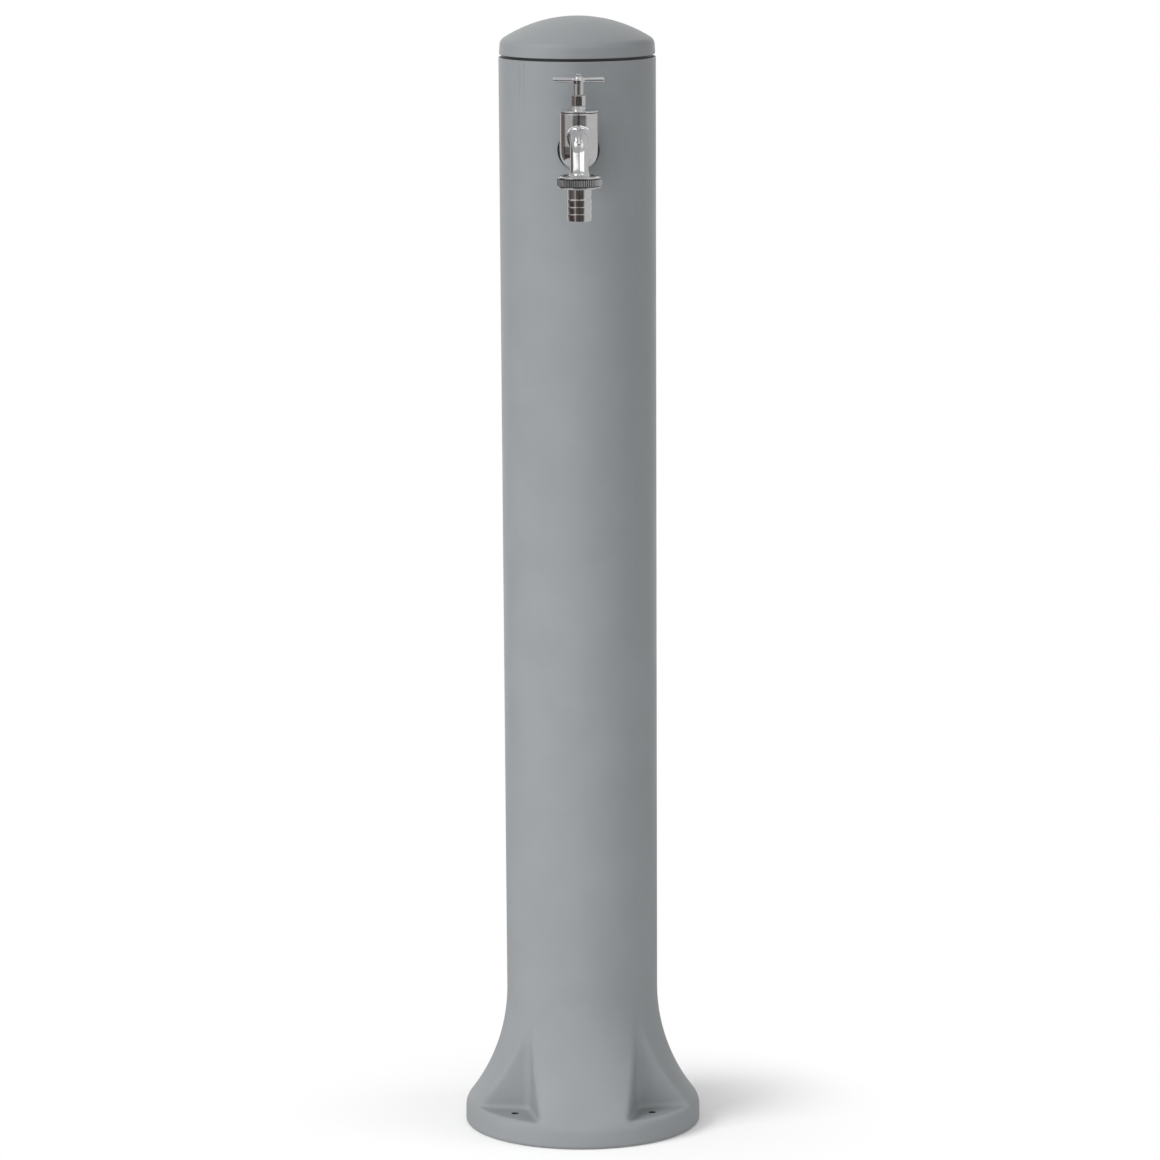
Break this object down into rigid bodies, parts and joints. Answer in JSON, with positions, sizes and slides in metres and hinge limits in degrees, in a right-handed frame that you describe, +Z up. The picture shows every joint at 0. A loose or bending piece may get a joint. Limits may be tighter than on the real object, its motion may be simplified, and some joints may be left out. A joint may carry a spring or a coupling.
{
  "type": "garden standpipe",
  "caption": "Hollow moulded garden tap post with a flared bolt-down foot, a lift-off domed cap and a chromed T-handle hose tap fed by an inner riser pipe.",
  "frame": {"origin": "centre of the foot's underside, on the column's axis", "axes": "+Z up along the column, -Y towards the tap"},
  "size_m": [0.212, 0.2491, 1.0001],
  "materials": {
    "moulded_grey": "satin, as moulded",
    "dark_plastic": "as moulded",
    "screw_steel": "bright zinc",
    "black_rubber": "matt",
    "polished_chrome": "polished plating on brass",
    "plain_brass": "as machined",
    "copper_tube": "drawn copper",
    "red_fibre": "pressed fibre",
    "white_packing": "soft packing"
  },
  "bodies": {
    "standpipe": {"column_shell": "moulded_grey", "pipe_guide": "dark_plastic", "guide_screws": "screw_steel", "tap_gasket": "black_rubber", "tap_body": "polished_chrome", "saddle_washer": "dark_plastic", "back_nut": "plain_brass", "wall_elbow": "plain_brass", "elbow_compression_nut": "plain_brass", "elbow_olive": "plain_brass", "riser_pipe": "copper_tube", "inlet_olive": "plain_brass", "inlet_compression_nut": "plain_brass", "inlet_adaptor": "plain_brass", "bonnet_seal": "red_fibre", "bonnet": "polished_chrome", "gland_packing": "white_packing", "gland_nut": "polished_chrome"},
    "cap": {"column_cap": "moulded_grey"},
    "jumper": {"jumper_valve": "plain_brass", "jumper_washer": "black_rubber", "jumper_nut": "plain_brass"},
    "spindle": {"spindle": "plain_brass", "t_handle": "polished_chrome", "handle_screw": "polished_chrome"},
    "hose_tail": {"hose_tail": "polished_chrome", "tail_washer": "black_rubber"},
    "union_nut": {"union_nut": "polished_chrome"}
  },
  "joints": [
    {"name": "cap_lift", "type": "slide", "parent": "standpipe", "child": "cap", "axis": [0, 0, 1], "range_m": [0, 0.06]},
    {"name": "valve_lift", "type": "slide", "parent": "standpipe", "child": "jumper", "axis": [0, 0, 1], "range_m": [0, 0.0055]},
    {"name": "handle_turn", "type": "hinge", "parent": "jumper", "child": "spindle", "pos_m": [0, -0.09917, 0.94], "axis": [0, 0, 1], "range_deg": [0, 900]},
    {"name": "tail_drop", "type": "slide", "parent": "standpipe", "child": "hose_tail", "axis": [0, 0, -1], "range_m": [0, 0.00577]},
    {"name": "nut_turn", "type": "hinge", "parent": "hose_tail", "child": "union_nut", "pos_m": [0, -0.12367, 0.866], "axis": [0, 0, -1], "range_deg": [0, 900]}
  ],
  "couplings": [
    {"joint": "handle_turn", "follows": "valve_lift", "rad_per_m": 2856},
    {"joint": "nut_turn", "follows": "tail_drop", "rad_per_m": 2721.1}
  ]
}
